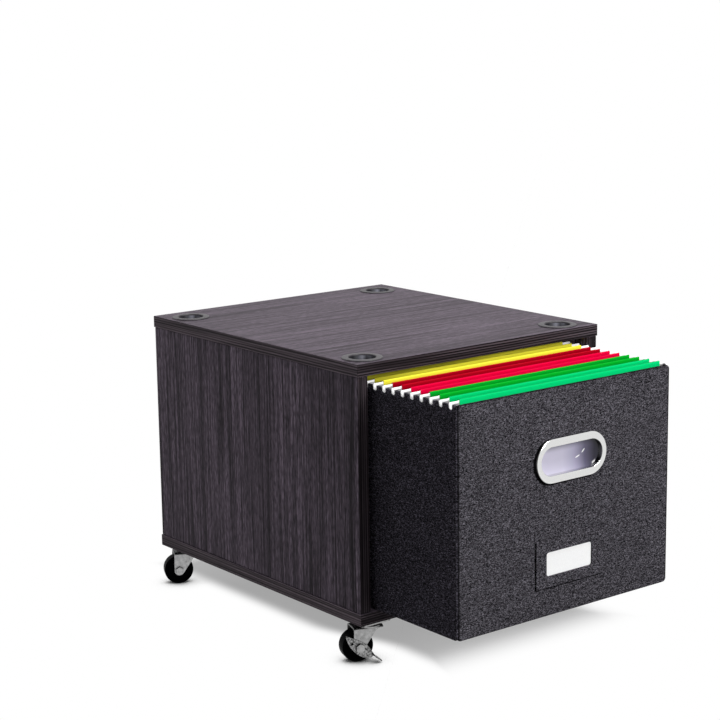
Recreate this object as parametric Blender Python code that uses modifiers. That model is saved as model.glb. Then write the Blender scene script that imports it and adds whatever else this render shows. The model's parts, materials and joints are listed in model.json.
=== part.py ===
"""A rolling file cube: a laminate case on four casters, with a loose file box that pulls
out of its open front and holds six hanging folders.

Metres, +Z up. The front faces -Y. The origin lies on the floor, under the middle of the
box round the whole object, with the file box pulled out as it stands at rest.
"""

import math

import bmesh
import bpy
from mathutils import Matrix, Vector

# Clearances
FIT = 0.0003  # between pieces that touch
RUNNING = 0.003  # behind the closed file box
BOX_SIDE_PLAY = 0.0075  # from the file box to each side of the case
BOX_TOP_PLAY = 0.0117  # from the file box to the top of the case
SHEET_SIDE_PLAY = 0.0055  # from a folder's sheet to each side of the file box
SHEET_FOOT_PLAY = 0.01735  # from a folder's foot to the base of the file box
WHEEL_PLAY = 0.0027  # from a wheel to the crown of its fork

# Case
CASE_WIDTH = 0.362
CASE_DEPTH = 0.410
CASE_HEIGHT = 0.295
PANEL = 0.014
OVERHANG = 0.001  # of the top and the bottom past the sides
PANEL_EDGE = 0.0007
BACK_THICKNESS = 0.005
BACK_INSET = 0.012
GROOVE = 0.006

# Stacking cups
CUP_HOLLOW_RADIUS = 0.0154
CUP_WALL = 0.002
CUP_RIM_RADIUS = 0.0229
CUP_RIM_RISE = 0.0012
CUP_DEPTH = 0.0085
CUP_FLOOR = 0.0015
CUP_INSET = 0.034
CUP_SHIFT_X = -0.0054
CUP_SHIFT_Y = -0.0066

# Casters
CASTER_HEIGHT = 0.048
CASTER_INSET_X = 0.027
CASTER_INSET_Y = 0.022
PLATE_SIZE = 0.038
PLATE_THICKNESS = 0.0023
PLATE_CORNER = 0.004
RACE_RADIUS = 0.0142
RACE_DEPTH = 0.002
PIN_RADIUS = 0.0035
PIN_HEAD_RADIUS = 0.0062
PIN_HEAD = 0.0016
FORK_SHEET = 0.002
FORK_REACH = 0.0206
FORK_FRONT = 0.014
LEG_FRONT = 0.0046
LEG_END_RADIUS = 0.0063
TRAIL = 0.0148
WHEEL_WIDTH = 0.0156
HUB_LENGTH = 0.0184
HUB_RADIUS = 0.0068
AXLE_RADIUS = 0.003
AXLE_HEAD_RADIUS = 0.0052
AXLE_HEAD = 0.0028
SWIVEL_FRONT = math.radians(18)
SWIVEL_REAR = math.radians(25)

# Brake levers
LEVER_SHEET = 0.0014
LEVER_SLOPE = math.radians(39)
LEVER_TIP = 0.0221
LEVER_END = 0.0192
LEVER_BELLY = 0.0075
LEVER_BACK = 0.0072
LEVER_PAD_TOP = 0.0032
LEVER_HOLE_RADIUS = 0.0015
LEVER_HOLE_PLACE = 0.0105
PAD_LENGTH = 0.0112
PAD_WIDTH = 0.009

# File box
BOX_WALL = 0.004
BOX_CORNER = 0.008
BOX_EDGE = 0.001
BOX_OUT = 0.1355
BOX_SHIFT = 0.0012

# Handle
HANDLE_X = 0.0042
HANDLE_DROP = 0.0811
RING_WIDTH = 0.1057
RING_HEIGHT = 0.0496
RING_FLANGE_SIDE = 0.00755
RING_FLANGE_TOP = 0.009
RING_THICKNESS = 0.0026
RING_EDGE = 0.0011
SLEEVE_STEP = 0.0003  # from the ring's hole out to the sleeve behind it
SLEEVE_WALL = 0.0011
SLEEVE_REACH = 0.0035
DISH_LIP = 0.0042  # how far the ring covers the dish's outside
DISH_WALL = 0.0014
DISH_DEPTH = 0.0072

# Label
LABEL_X = 0.0015
LABEL_Z = 0.0595
LABEL_WIDTH = 0.099
LABEL_HEIGHT = 0.055
LABEL_THICKNESS = 0.002
LABEL_CORNER = 0.002
LABEL_BORDER_SIDE = 0.01575
LABEL_BORDER_TOP = 0.01425
WINDOW_CORNER = 0.003
POCKET_EDGE = 0.004  # of the label's frame above and below the card
CARD_THICKNESS = 0.0004
CARD_STOP = 0.005

# Hanging folders
FOLDERS = 6
FIRST_ROD = 0.008
ROD_PITCH = 0.0156
ROD_THICKNESS = 0.0012
ROD_RISE = 0.0034
ARM_RISE = 0.003
ROD_BODY_DROP = 0.0056
HOOK_DROP = 0.0049
HOOK_WIDTH = 0.0039
HOOK_SHOULDER = 0.002
HOOK_TIP = 0.0008
SHEET_THICKNESS = 0.0005
SHEET_FOOT = 0.007
FLAP_DROP = 0.012

# Sizes that follow from those above
CASE_INNER = CASE_WIDTH / 2 - OVERHANG - PANEL
CUP_SPACING_X = CASE_WIDTH - 2 * CUP_INSET
CUP_SPACING_Y = CASE_DEPTH - 2 * CUP_INSET
BOX_WIDTH = 2 * (CASE_INNER - BOX_SIDE_PLAY)
BOX_DEPTH = CASE_DEPTH - BACK_INSET - BACK_THICKNESS - RUNNING
BOX_HEIGHT = CASE_HEIGHT - 2 * PANEL - FIT - BOX_TOP_PLAY
HANDLE_Z = BOX_HEIGHT - HANDLE_DROP
RING_HOLE_WIDTH = RING_WIDTH - 2 * RING_FLANGE_SIDE
RING_HOLE_HEIGHT = RING_HEIGHT - 2 * RING_FLANGE_TOP
WINDOW_WIDTH = LABEL_WIDTH - 2 * LABEL_BORDER_SIDE
WINDOW_HEIGHT = LABEL_HEIGHT - 2 * LABEL_BORDER_TOP
CARD_HEIGHT = LABEL_HEIGHT - 2 * POCKET_EDGE
RING_FRONT = FIT + RING_THICKNESS
CASE_Y = (BOX_OUT + RING_FRONT) / 2
SHEET_WIDTH = BOX_WIDTH - 2 * BOX_WALL - 2 * SHEET_SIDE_PLAY
SHEET_FOOT_Z = BOX_WALL + SHEET_FOOT_PLAY - BOX_HEIGHT  # under the top of the file box
AXLE_HOLE = AXLE_RADIUS + FIT
PIN_HOLE = PIN_RADIUS + FIT
RACE_TOP = FIT + PLATE_THICKNESS
CROWN_TOP = RACE_TOP + 2 * RACE_DEPTH + FIT
WHEEL_RADIUS = (CASTER_HEIGHT - CROWN_TOP - FORK_SHEET - WHEEL_PLAY) / 2
WHEEL_DROP = CASTER_HEIGHT - WHEEL_RADIUS
LEG_INNER = HUB_LENGTH / 2 + FIT
LEG_OUTER = LEG_INNER + FORK_SHEET


def clear_scene():
    for obj in list(bpy.data.objects):
        bpy.data.objects.remove(obj)


def new_collection(name):
    group = bpy.data.collections.new(name)
    bpy.context.scene.collection.children.link(group)
    return group


def plain_material(name, colour, roughness, metallic=0.0):
    material = bpy.data.materials.new(name)
    material.use_nodes = True
    shader = material.node_tree.nodes["Principled BSDF"]
    shader.inputs["Base Color"].default_value = (*colour, 1)
    shader.inputs["Roughness"].default_value = roughness
    shader.inputs["Metallic"].default_value = metallic
    material.diffuse_color = (*colour, 1)
    return material


def laminate(name):
    return plain_material(name, (0.055, 0.048, 0.055), 0.5)


def box_fabric(name):
    return plain_material(name, (0.04, 0.038, 0.045), 0.95)


def dark_plastic(name):
    return plain_material(name, (0.035, 0.036, 0.04), 0.35)


def zinc(name):
    return plain_material(name, (0.6, 0.61, 0.62), 0.35, 1.0)


def chrome(name):
    return plain_material(name, (0.85, 0.85, 0.83), 0.12, 1.0)


def black_rubber(name):
    return plain_material(name, (0.012, 0.012, 0.013), 0.6)


def milky_plastic(name):
    return plain_material(name, (0.6, 0.58, 0.66), 0.15)


def white_plastic(name):
    return plain_material(name, (0.85, 0.85, 0.86), 0.4)


def card_paper(name):
    return plain_material(name, (0.88, 0.88, 0.87), 0.8)


def folder_paper(colour):
    return lambda name: plain_material(name, colour, 0.75)


SHEET_COLOURS = [
    folder_paper((0.01, 0.70, 0.18)),
    folder_paper((0.01, 0.36, 0.02)),
    folder_paper((0.83, 0.006, 0.06)),
    folder_paper((0.40, 0.003, 0.012)),
    folder_paper((1.0, 0.88, 0.04)),
    folder_paper((0.95, 0.80, 0.04)),
]


def anchor(name, parent=None, place=(0, 0, 0), turn=(0, 0, 0)):
    """An empty on a joint's axis, which carries the pieces of one moving body."""
    empty = bpy.data.objects.new(name, None)
    empty.empty_display_size = 0.02
    empty.location = place
    empty.rotation_euler = turn
    empty.parent = parent
    PARTS.objects.link(empty)
    return empty


def put(name, mesh, paint, parent, place=(0, 0, 0), turn=(0, 0, 0)):
    """A named part of the object."""
    mesh.materials.clear()
    mesh.materials.append(paint(name))
    part = bpy.data.objects.new(name, mesh)
    part.location = place
    part.rotation_euler = turn
    part.parent = parent
    PARTS.objects.link(part)
    return part


def cutter(name, mesh, parent=None, place=(0, 0, 0), turn=(0, 0, 0)):
    tool = bpy.data.objects.new(name, mesh)
    tool.location = place
    tool.rotation_euler = turn
    tool.parent = parent
    tool.hide_render = True
    tool.display_type = "WIRE"
    CUTTERS.objects.link(tool)
    return tool


def combine(part, tool, operation):
    step = part.modifiers.new(f"{operation.lower()} {tool.name}", "BOOLEAN")
    step.operation = operation
    step.object = tool
    return step


def bevel(part, width, segments=2, angle=40):
    step = part.modifiers.new("edges", "BEVEL")
    step.width = width
    step.segments = segments
    step.limit_method = "ANGLE"
    step.angle_limit = math.radians(angle)


def smooth(mesh, angle=35):
    mesh.shade_smooth()
    mesh.set_sharp_from_angle(angle=math.radians(angle))
    return mesh


def mesh_from(shape, name):
    mesh = bpy.data.meshes.new(name)
    shape.to_mesh(mesh)
    shape.free()
    return mesh


def block(name, size, centre=(0, 0, 0)):
    shape = bmesh.new()
    place = Matrix.Translation(centre) @ Matrix.Diagonal((*size, 1))
    bmesh.ops.create_cube(shape, size=1, matrix=place)
    return mesh_from(shape, name)


def rod(name, radius, length, sides=24, centre=(0, 0, 0), turn=Matrix()):
    """A straight round bar along Z, or a prism with few sides."""
    shape = bmesh.new()
    place = Matrix.Translation(centre) @ turn
    bmesh.ops.create_cone(
        shape, cap_ends=True, segments=sides, radius1=radius, radius2=radius,
        depth=length, matrix=place,
    )
    return smooth(mesh_from(shape, name))


def baked(obj):
    """The mesh of an object as its modifiers or its curve make it."""
    bpy.context.view_layer.update()
    graph = bpy.context.evaluated_depsgraph_get()
    mesh = bpy.data.meshes.new_from_object(obj.evaluated_get(graph))
    mesh.name = obj.name
    bpy.data.objects.remove(obj)
    shape = bmesh.new()
    shape.from_mesh(mesh)
    bmesh.ops.remove_doubles(shape, verts=shape.verts, dist=1e-6)
    shape.to_mesh(mesh)
    shape.free()
    return mesh


def turned(name, profile, steps=24, closed=False):
    """A profile of (radius, height) points, down its outer side, swept round Z."""
    mesh = bpy.data.meshes.new(name)
    points = [(radius, 0, height) for radius, height in profile]
    edges = [(i, i + 1) for i in range(len(points) - 1)]
    if closed:
        edges.append((len(points) - 1, 0))
    mesh.from_pydata(points, edges, [])
    obj = bpy.data.objects.new(name, mesh)
    PARTS.objects.link(obj)
    screw = obj.modifiers.new("turn", "SCREW")
    screw.steps = steps
    screw.render_steps = steps
    screw.use_merge_vertices = True
    screw.merge_threshold = 1e-5
    return smooth(baked(obj))


def plate(name, outlines, thickness):
    """A flat sheet in XY, centred on its middle plane, from an outline and its holes."""
    curve = bpy.data.curves.new(name, "CURVE")
    curve.dimensions = "2D"
    curve.fill_mode = "BOTH"
    curve.extrude = thickness / 2
    for outline in outlines:
        spline = curve.splines.new("POLY")
        spline.points.add(len(outline) - 1)
        for point, (x, y) in zip(spline.points, outline):
            point.co = (x, y, 0, 1)
        spline.use_cyclic_u = True
    obj = bpy.data.objects.new(name, curve)
    PARTS.objects.link(obj)
    return smooth(baked(obj))


def arc(centre, radius, start, end, steps):
    """Points on an arc, from one angle to another in degrees."""
    angles = [math.radians(start + (end - start) * i / steps) for i in range(steps + 1)]
    return [(centre[0] + radius * math.cos(a), centre[1] + radius * math.sin(a)) for a in angles]


def circle(radius, steps=24, centre=(0, 0)):
    return arc(centre, radius, 0, 360, steps)[:-1]


def rounded(width, height, radius, steps=6):
    """A rectangle with round corners. A radius of half its height gives round ends."""
    x, y = width / 2 - radius, height / 2 - radius
    corners = [((x, y), 0), ((-x, y), 90), ((-x, -y), 180), ((x, -y), 270)]
    points = []
    for centre, start in corners:
        points += arc(centre, radius, start, start + 90, steps)
    tidy = [p for i, p in enumerate(points) if math.dist(p, points[i - 1]) > 1e-6]
    return tidy


UPRIGHT = (math.radians(90), 0, 0)  # turns a sheet from XY into XZ, its front to -Y


def panel(name, size, place, parent):
    part = put(name, block(name, size), laminate, parent, place)
    bevel(part, PANEL_EDGE)
    return part


def make_case(case):
    """Five laminate boards. The back lies in grooves of the other four."""
    side_x = CASE_INNER + PANEL / 2
    side_size = (PANEL, CASE_DEPTH - 2 * OVERHANG, CASE_HEIGHT - 2 * PANEL - 2 * FIT)
    board_size = (CASE_WIDTH, CASE_DEPTH, PANEL)
    middle = CASE_HEIGHT / 2
    bottom = panel("bottom_panel", board_size, (0, 0, PANEL / 2), case)
    top = panel("top_panel", board_size, (0, 0, CASE_HEIGHT - PANEL / 2), case)
    left = panel("left_side_panel", side_size, (-side_x, 0, middle), case)
    right = panel("right_side_panel", side_size, (side_x, 0, middle), case)
    back_y = CASE_DEPTH / 2 - BACK_INSET - BACK_THICKNESS / 2
    back_width = 2 * (CASE_INNER + GROOVE)
    back_height = CASE_HEIGHT - 2 * PANEL + 2 * GROOVE
    groove = block("back_groove", (back_width, BACK_THICKNESS + 2 * FIT, back_height))
    groove_tool = cutter("back_groove", groove, case, (0, back_y, middle))
    for board in (bottom, top, left, right):
        combine(board, groove_tool, "DIFFERENCE")
    back_size = (back_width - 2 * FIT, BACK_THICKNESS, back_height - 2 * FIT)
    put("back_panel", block("back_panel", back_size), laminate, case, (0, back_y, middle))
    return top


def cup_profile():
    body = CUP_HOLLOW_RADIUS + CUP_WALL
    rise = FIT + CUP_RIM_RISE
    fillet = 0.0015
    points = [(0, -CUP_DEPTH)]
    points += arc((CUP_HOLLOW_RADIUS - 2 * fillet, -CUP_DEPTH + fillet), fillet, -90, 0, 3)
    points += [(CUP_HOLLOW_RADIUS, rise - 0.0008), (CUP_HOLLOW_RADIUS + 0.0006, rise)]
    points += [(CUP_RIM_RADIUS - 0.0012, rise), (CUP_RIM_RADIUS, rise - 0.0009)]
    points += [(CUP_RIM_RADIUS, FIT), (body, FIT)]
    points += [(body, -CUP_DEPTH - CUP_FLOOR), (0, -CUP_DEPTH - CUP_FLOOR)]
    return points


def make_cups(case, top):
    """Four cups let into the top, which take the wheels of a cube stacked on this one."""
    pocket_radius = CUP_HOLLOW_RADIUS + CUP_WALL + FIT
    pocket_depth = CUP_DEPTH + CUP_FLOOR + FIT
    for name, x, y in corners():
        place = (
            CUP_SHIFT_X + x * CUP_SPACING_X / 2,
            CUP_SHIFT_Y + y * CUP_SPACING_Y / 2,
            CASE_HEIGHT,
        )
        put(f"stacking_cup_{name}", turned("cup", cup_profile()), dark_plastic, case, place)
        pocket = rod("pocket", pocket_radius, 2 * pocket_depth)
        combine(top, cutter(f"cup_pocket_{name}", pocket, case, place), "DIFFERENCE")


def corners():
    return [
        ("front_left", -1, -1),
        ("front_right", 1, -1),
        ("rear_left", -1, 1),
        ("rear_right", 1, 1),
    ]


def make_plate(name, mount):
    """The mounting plate, with the upper race of the swivel pressed into it."""
    outline = rounded(PLATE_SIZE, PLATE_SIZE, PLATE_CORNER, 4)
    mesh = plate("caster_plate", [outline], PLATE_THICKNESS)
    part = put(f"caster_plate_{name}", mesh, zinc, mount, (0, 0, -FIT - PLATE_THICKNESS / 2))
    profile = [
        (0, -RACE_TOP + PLATE_THICKNESS / 3),
        (RACE_RADIUS + 0.001, -RACE_TOP + PLATE_THICKNESS / 3),
        (RACE_RADIUS, -RACE_TOP - RACE_DEPTH),
        (0, -RACE_TOP - RACE_DEPTH),
    ]
    combine(part, cutter(f"upper_race_{name}", turned("upper_race", profile, 20), mount), "UNION")
    bore_pin(part, mount)


def bore_pin(part, parent):
    """The hole that the kingpin passes through."""
    bore = rod("pin_bore", PIN_HOLE, 6 * CROWN_TOP, 16)
    combine(part, cutter(f"pin_bore_{part.name}", bore, parent), "DIFFERENCE")


def make_kingpin(name, mount):
    top = -FIT
    crown_under = -CROWN_TOP - FORK_SHEET
    head_top = crown_under - FIT
    profile = [
        (0, top),
        (PIN_RADIUS, top),
        (PIN_RADIUS, head_top),
        (PIN_HEAD_RADIUS, head_top),
        (PIN_HEAD_RADIUS, head_top - PIN_HEAD / 2),
        (PIN_HEAD_RADIUS * 0.75, head_top - PIN_HEAD),
        (0, head_top - PIN_HEAD),
    ]
    put(f"kingpin_{name}", turned("kingpin", profile, 12), zinc, mount)


def fork_section():
    """The bent sheet seen along the trail: two legs joined by the crown, at mid thickness."""
    leg = LEG_INNER + FORK_SHEET / 2
    crown = -CROWN_TOP - FORK_SHEET / 2
    bend = 0.0025
    foot = -WHEEL_DROP - 2 * LEG_END_RADIUS
    right = [(leg, foot)] + arc((leg - bend, crown - bend), bend, 0, 90, 4)
    return right + [(-y, z) for y, z in reversed(right)]


def fork_sheet():
    """The section drawn out along the trail and thickened."""
    mesh = bpy.data.meshes.new("fork")
    section = fork_section()
    ends = (-FORK_FRONT - 0.002, FORK_REACH + 0.002)
    points = [(x, y, z) for x in ends for y, z in section]
    count = len(section)
    faces = [(i, i + 1, count + i + 1, count + i) for i in range(count - 1)]
    mesh.from_pydata(points, [], faces)
    mesh.update()
    obj = bpy.data.objects.new("fork", mesh)
    PARTS.objects.link(obj)
    shell = obj.modifiers.new("sheet", "SOLIDIFY")
    shell.thickness = FORK_SHEET
    shell.offset = 0
    shell.use_even_offset = True
    return smooth(baked(obj))


def fork_side():
    """The fork's outline from the side, as (trail, height)."""
    top = -CROWN_TOP + FORK_SHEET
    crown = -CROWN_TOP - FORK_SHEET
    rear = [(FORK_REACH, top), (FORK_REACH + 0.0004, -WHEEL_DROP + LEG_END_RADIUS)]
    foot = arc((TRAIL, -WHEEL_DROP), LEG_END_RADIUS, 10, -150, 10)
    front = [(-LEG_FRONT, crown - 0.004), (-LEG_FRONT - 0.004, crown - 0.0012)]
    return [(-FORK_FRONT, top)] + rear + foot + front + [(-FORK_FRONT, crown - 0.0006)]


def make_fork(name, swivel):
    part = put(f"fork_{name}", fork_sheet(), zinc, swivel)
    side = plate("fork_side", [fork_side()], 4 * LEG_OUTER)
    combine(part, cutter(f"fork_side_{name}", side, swivel, (0, 0, 0), UPRIGHT), "INTERSECT")
    race = turned(
        "lower_race",
        [
            (0, -CROWN_TOP + RACE_DEPTH),
            (RACE_RADIUS, -CROWN_TOP + RACE_DEPTH),
            (RACE_RADIUS + 0.001, -CROWN_TOP + 0.0004),
            (RACE_RADIUS + 0.001, -CROWN_TOP - FORK_SHEET / 3),
            (0, -CROWN_TOP - FORK_SHEET / 3),
        ],
        20,
    )
    combine(part, cutter(f"lower_race_{name}", race, swivel), "UNION")
    bore_pin(part, swivel)
    axle_bore = rod("axle_bore", AXLE_HOLE, 4 * LEG_OUTER, 16)
    place = (TRAIL, 0, -WHEEL_DROP)
    combine(part, cutter(f"axle_bore_{name}", axle_bore, swivel, place, UPRIGHT), "DIFFERENCE")


def make_axle(name, hub, lever_side):
    """The axle bolt, with a round head and a nut. The lever, if any, lies under one of them."""
    extra = LEVER_SHEET + FIT
    head_end = LEG_OUTER + FIT + (extra if lever_side < 0 else 0)
    nut_end = LEG_OUTER + FIT + (extra if lever_side > 0 else 0)
    profile = [
        (0, nut_end + AXLE_HEAD / 2),
        (AXLE_RADIUS, nut_end + AXLE_HEAD / 2),
        (AXLE_RADIUS, -head_end),
        (AXLE_HEAD_RADIUS, -head_end),
        (AXLE_HEAD_RADIUS, -head_end - AXLE_HEAD / 3),
        (AXLE_HEAD_RADIUS * 0.7, -head_end - AXLE_HEAD * 0.8),
        (0, -head_end - AXLE_HEAD),
    ]
    part = put(f"axle_{name}", turned("axle", profile, 20), zinc, hub, turn=AXLE_TURN)
    nut_mesh = rod("nut", AXLE_HEAD_RADIUS, AXLE_HEAD, 6, (0, 0, nut_end + AXLE_HEAD / 2))
    combine(part, cutter(f"axle_nut_{name}", nut_mesh, hub, turn=AXLE_TURN), "UNION")


AXLE_TURN = (math.radians(-90), 0, 0)  # turns Z into +Y, the axle's own direction


def wheel_profile():
    half, hub = WHEEL_WIDTH / 2, HUB_LENGTH / 2
    rim = WHEEL_RADIUS - 0.0042
    upper = [
        (AXLE_HOLE, hub),
        (HUB_RADIUS, hub),
        (HUB_RADIUS + 0.0006, half - 0.0016),
        (rim, half - 0.002),
        (rim + 0.001, half),
        (WHEEL_RADIUS - 0.0012, half - 0.0003),
        (WHEEL_RADIUS, half - 0.0028),
    ]
    return upper + [(radius, -height) for radius, height in reversed(upper)]


def lever_outline():
    """The lever's leaf: pointed above, bellied below, with a waist towards the pad."""
    below = [
        (-LEVER_TIP, LEVER_BACK * 0.32),
        (-LEVER_TIP * 0.9, -LEVER_BELLY * 0.05),
        (-LEVER_TIP * 0.72, -LEVER_BELLY * 0.4),
        (-LEVER_TIP * 0.44, -LEVER_BELLY * 0.76),
        (-LEVER_TIP * 0.12, -LEVER_BELLY * 0.96),
        (LEVER_END * 0.22, -LEVER_BELLY),
        (LEVER_END * 0.52, -LEVER_BELLY * 0.88),
        (LEVER_END * 0.78, -LEVER_BELLY * 0.6),
        (LEVER_END, -LEVER_BELLY * 0.1),
    ]
    above = [
        (LEVER_END, LEVER_PAD_TOP),
        (LEVER_END * 0.66, LEVER_BACK * 0.76),
        (LEVER_END * 0.28, LEVER_BACK),
        (-LEVER_TIP * 0.2, LEVER_BACK * 0.86),
    ]
    return below + above


def make_lever(name, hub, side):
    """A stamped brake lever on the axle, outside the fork, with a foot pad bent outwards."""
    slope = LEVER_SLOPE
    along = Vector((-math.cos(slope), 0, -math.sin(slope)))
    across = Vector((-math.sin(slope), 0, math.cos(slope)))
    turn = Matrix((along, across, (0, 1, 0))).transposed().to_euler()
    holes = [circle(AXLE_HOLE), circle(LEVER_HOLE_RADIUS, 12, (-LEVER_HOLE_PLACE, -0.0012))]
    mesh = plate("lever", [lever_outline()] + holes, LEVER_SHEET)
    offset = side * (LEG_OUTER + FIT + LEVER_SHEET / 2)
    part = put(f"brake_lever_{name}", mesh, zinc, hub, (0, offset, 0), turn)
    pad_place = (
        LEVER_END - 0.0024 + PAD_LENGTH / 2,
        LEVER_PAD_TOP - LEVER_SHEET / 2 - 0.0001,
        side * (PAD_WIDTH - LEVER_SHEET) / 2,
    )
    pad = block("pad", (PAD_LENGTH, LEVER_SHEET, PAD_WIDTH), pad_place)
    combine(part, cutter(f"lever_pad_{name}", pad, hub, (0, offset, 0), turn), "UNION")


def make_caster(name, case, side, turn, has_brake):
    """One swivel caster under a corner. Its trail points to the case's outside."""
    place = (
        side[0] * (CASE_WIDTH / 2 - CASTER_INSET_X),
        side[1] * (CASE_DEPTH / 2 - CASTER_INSET_Y),
        0,
    )
    mount = anchor(f"caster_mount_{name}", case, place)
    heading = turn if side[0] > 0 else math.pi - turn
    swivel = anchor(f"swivel_{name}", mount, (0, 0, 0), (0, 0, heading))
    hub = anchor(f"hub_{name}", swivel, (TRAIL, 0, -WHEEL_DROP))
    make_plate(name, mount)
    make_kingpin(name, mount)
    make_fork(name, swivel)
    lever_side = -side[0] if has_brake else 0
    make_axle(name, hub, lever_side)
    put(f"wheel_{name}", turned("wheel", wheel_profile(), closed=True), black_rubber, hub,
        turn=AXLE_TURN)
    if has_brake:
        make_lever(name, hub, lever_side)


def make_casters(case):
    for name, x, y in corners():
        is_front = y < 0
        turn = SWIVEL_FRONT if is_front else SWIVEL_REAR
        make_caster(name, case, (x, y), turn, is_front)


def make_walls(box):
    """The box's five boards. The front and the back cover the ends of the others."""
    inner_depth = BOX_DEPTH - 2 * BOX_WALL - 2 * FIT
    middle_y = BOX_DEPTH / 2
    outline = rounded(BOX_WIDTH, BOX_HEIGHT, BOX_CORNER)
    dish = rounded(*dish_size(2 * FIT), dish_size(2 * FIT)[1] / 2, 10)
    hole = [(x + HANDLE_X, y + HANDLE_Z - BOX_HEIGHT / 2) for x, y in dish]
    front = plate("box_front", [outline, hole], BOX_WALL)
    middle_z = BOX_HEIGHT / 2
    put("box_front", front, box_fabric, box, (0, BOX_WALL / 2, middle_z), UPRIGHT)
    back = plate("box_back", [outline], BOX_WALL)
    put("box_back", back, box_fabric, box, (0, BOX_DEPTH - BOX_WALL / 2, middle_z), UPRIGHT)
    side_size = (BOX_WALL, inner_depth, BOX_HEIGHT)
    for name, side in (("left", -1), ("right", 1)):
        place = (side * (BOX_WIDTH - BOX_WALL) / 2, middle_y, middle_z)
        wall = block(f"box_{name}", side_size)
        bevel(put(f"box_{name}", wall, box_fabric, box, place), BOX_EDGE)
    base_width = BOX_WIDTH - 2 * BOX_WALL - 2 * FIT
    base = block("box_base", (base_width, inner_depth, BOX_WALL))
    put("box_base", base, box_fabric, box, (0, middle_y, BOX_WALL / 2))


def dish_size(extra=0.0):
    """The outside of the handle's dish, grown by a clearance."""
    return RING_WIDTH - 2 * DISH_LIP + extra, RING_HEIGHT - 2 * DISH_LIP + extra


def sleeve_outlines():
    """The outside and the inside of the short sleeve that lines the ring's hole."""
    outlines = []
    for grown in (SLEEVE_STEP + SLEEVE_WALL, SLEEVE_STEP):
        height = RING_HOLE_HEIGHT + 2 * grown
        outlines.append(rounded(RING_HOLE_WIDTH + 2 * grown, height, height / 2))
    return outlines


def make_handle(box):
    """A flat ring with a sleeve on the front, and the shallow dish behind it for fingers."""
    outer = rounded(RING_WIDTH, RING_HEIGHT, RING_HEIGHT / 2)
    inner = rounded(RING_HOLE_WIDTH, RING_HOLE_HEIGHT, RING_HOLE_HEIGHT / 2)
    ring_y = -FIT - RING_THICKNESS / 2
    place = (HANDLE_X, ring_y, HANDLE_Z)
    mesh = plate("handle_ring", [outer, inner], RING_THICKNESS)
    ring = put("handle_ring", mesh, chrome, box, place, UPRIGHT)
    bevel(ring, RING_EDGE)
    sleeve = plate("ring_sleeve", sleeve_outlines(), SLEEVE_REACH - ring_y)
    place = (HANDLE_X, (SLEEVE_REACH + ring_y) / 2, HANDLE_Z)
    joint = combine(ring, cutter("ring_sleeve", sleeve, box, place, UPRIGHT), "UNION")
    joint.use_self = True
    width, height = dish_size()
    body = plate("handle_dish", [rounded(width, height, height / 2, 10)], DISH_DEPTH)
    place = (HANDLE_X, DISH_DEPTH / 2, HANDLE_Z)
    dish = put("handle_dish", body, milky_plastic, box, place, UPRIGHT)
    hollow_height = height - 2 * DISH_WALL
    hollow = rounded(width - 2 * DISH_WALL, hollow_height, hollow_height / 2, 10)
    tool = plate("dish_hollow", [hollow], 2 * (DISH_DEPTH - DISH_WALL))
    tool_place = (HANDLE_X, 0, HANDLE_Z)
    combine(dish, cutter("dish_hollow", tool, box, tool_place, UPRIGHT), "DIFFERENCE")


def make_label(box):
    """A covered frame with a window, and a card that slides in behind it from the left."""
    outline = rounded(LABEL_WIDTH, LABEL_HEIGHT, LABEL_CORNER, 3)
    window = rounded(WINDOW_WIDTH, WINDOW_HEIGHT, WINDOW_CORNER, 4)
    frame = plate("label_frame", [outline, window], LABEL_THICKNESS)
    middle = -FIT - LABEL_THICKNESS / 2
    place = (LABEL_X, middle, LABEL_Z)
    part = put("label_frame", frame, box_fabric, box, place, UPRIGHT)
    pocket_depth = CARD_THICKNESS + 2 * FIT
    card_width = LABEL_WIDTH - CARD_STOP
    pocket_size = (card_width + 2 * FIT, 2 * pocket_depth, CARD_HEIGHT + 2 * FIT)
    card_x = LABEL_X - CARD_STOP / 2
    pocket_x = card_x + FIT - 0.001
    pocket = block("card_pocket", (pocket_size[0] + 0.002, *pocket_size[1:]))
    combine(part, cutter("card_pocket", pocket, box, (pocket_x, -FIT, LABEL_Z)), "DIFFERENCE")
    card = block("label_card", (card_width, CARD_THICKNESS, CARD_HEIGHT))
    slide = anchor("card_slide", box, (card_x, -2 * FIT - CARD_THICKNESS / 2, LABEL_Z))
    put("label_card", card, card_paper, slide)


def rod_outline():
    """A flat hanging rod: a deep middle inside the fold and an arm with a hook at each end."""
    body = SHEET_WIDTH / 2 + FIT
    hook_in = BOX_WIDTH / 2 + FIT
    hook_out = hook_in + HOOK_WIDTH
    shoulder = (hook_out - HOOK_SHOULDER, ARM_RISE - HOOK_SHOULDER)
    right = [
        (body, -ROD_BODY_DROP),
        (body, FIT),
        (hook_in, FIT),
        (hook_in, HOOK_TIP - HOOK_DROP),
        (hook_in + HOOK_TIP, -HOOK_DROP),
        (hook_in + 2 * HOOK_TIP, -HOOK_DROP),
        (hook_out - HOOK_TIP, 2 * HOOK_TIP - HOOK_DROP),
    ]
    right += arc(shoulder, HOOK_SHOULDER, 0, 90, 3)
    right += [(body, ARM_RISE), (body, ROD_RISE)]
    return right + [(-x, z) for x, z in reversed(right)]


def sheet_section():
    """Half of a folder's sheet from the side: flap, fold over the rod, face and foot."""
    gap = ROD_THICKNESS / 2 + FIT + SHEET_THICKNESS / 2
    rod_y = ROD_PITCH / 2
    fold_z = ROD_RISE - ROD_THICKNESS / 6
    points = [(rod_y - gap, -FLAP_DROP)]
    points += arc((rod_y, fold_z), gap, 180, 0, 6)
    points += [(rod_y + gap, -ROD_BODY_DROP - 0.002)]
    foot = SHEET_FOOT / 2
    points += [(foot, SHEET_FOOT_Z + 0.001), (foot - 0.001, SHEET_FOOT_Z)]
    return points


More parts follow.
